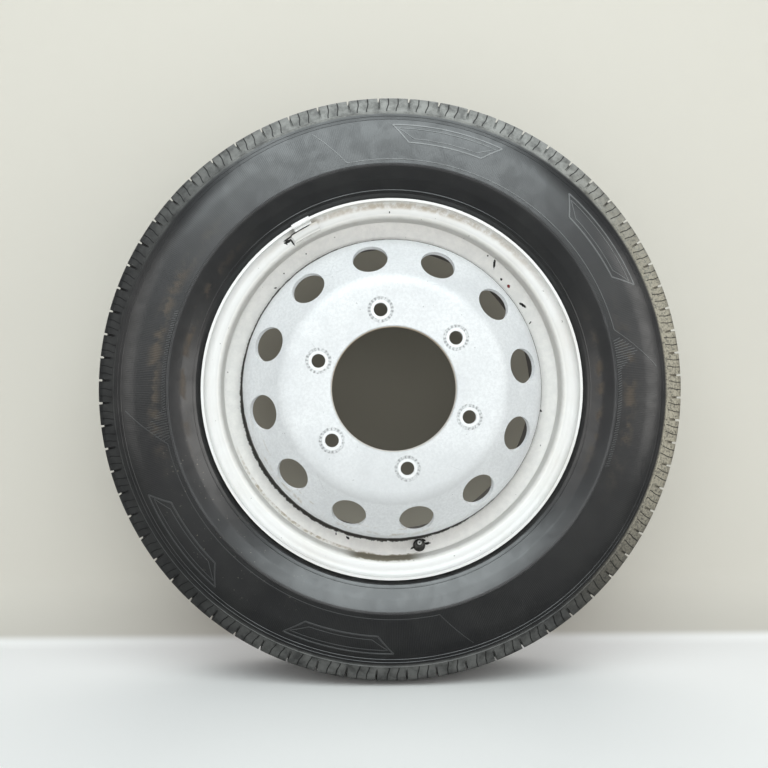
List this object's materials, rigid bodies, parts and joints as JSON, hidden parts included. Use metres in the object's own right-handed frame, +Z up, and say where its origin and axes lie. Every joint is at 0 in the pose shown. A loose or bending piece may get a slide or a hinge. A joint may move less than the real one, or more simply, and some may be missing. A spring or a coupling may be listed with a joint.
{
  "type": "steel van wheel with tyre",
  "caption": "Pressed-steel van wheel with a deeply outset vented disc, a fitted tubeless tyre, a snap-in valve with a removable cap and a clip-on balance weight.",
  "frame": {"origin": "on the wheel's axis at the hub seat, the flat back of the disc that bolts against the hub", "axes": "+Y along the wheel's axis towards the hub, so the outer face looks towards -Y; +Z up; +X to the right as seen from outside"},
  "size_m": [0.6899, 0.2149, 0.69],
  "materials": {
    "tyre_rubber": "matte, lightly dusted",
    "rim_paint": "satin silver paint with road dirt",
    "disc_paint": "satin silver paint",
    "valve_rubber": "matte",
    "valve_brass": "machined",
    "seal_rubber": "matte",
    "spring_steel": "drawn wire",
    "cap_plastic": "matte, aged grey",
    "weight_paint": "satin silver coating",
    "clip_steel": "plated strip"
  },
  "bodies": {
    "wheel": {"tyre": "tyre_rubber", "rim": "rim_paint", "disc": "disc_paint", "weld_beads": "rim_paint", "valve_body": "valve_rubber", "valve_tube": "valve_brass", "valve_core_plug": "valve_brass", "valve_core_barrel": "valve_brass", "valve_core_seal": "seal_rubber", "valve_core_spring": "spring_steel", "balance_weight": "weight_paint", "balance_clip": "clip_steel"},
    "valve_cap": {"valve_cap": "cap_plastic", "valve_cap_gasket": "seal_rubber"},
    "valve_pin": {"valve_core_pin": "valve_brass", "valve_core_cup": "seal_rubber"}
  },
  "joints": [
    {"name": "valve_cap_off", "type": "slide", "parent": "wheel", "child": "valve_cap", "axis": [-0.0537, -0.9511, 0.3043], "range_m": [0, 0.02]},
    {"name": "valve_pin_press", "type": "slide", "parent": "wheel", "child": "valve_pin", "axis": [0.0537, 0.9511, -0.3043], "range_m": [0, 0.0015], "stiffness_N_per_m": 800, "springref_m": -0.003, "deforming": ["valve_core_spring"]}
  ]
}
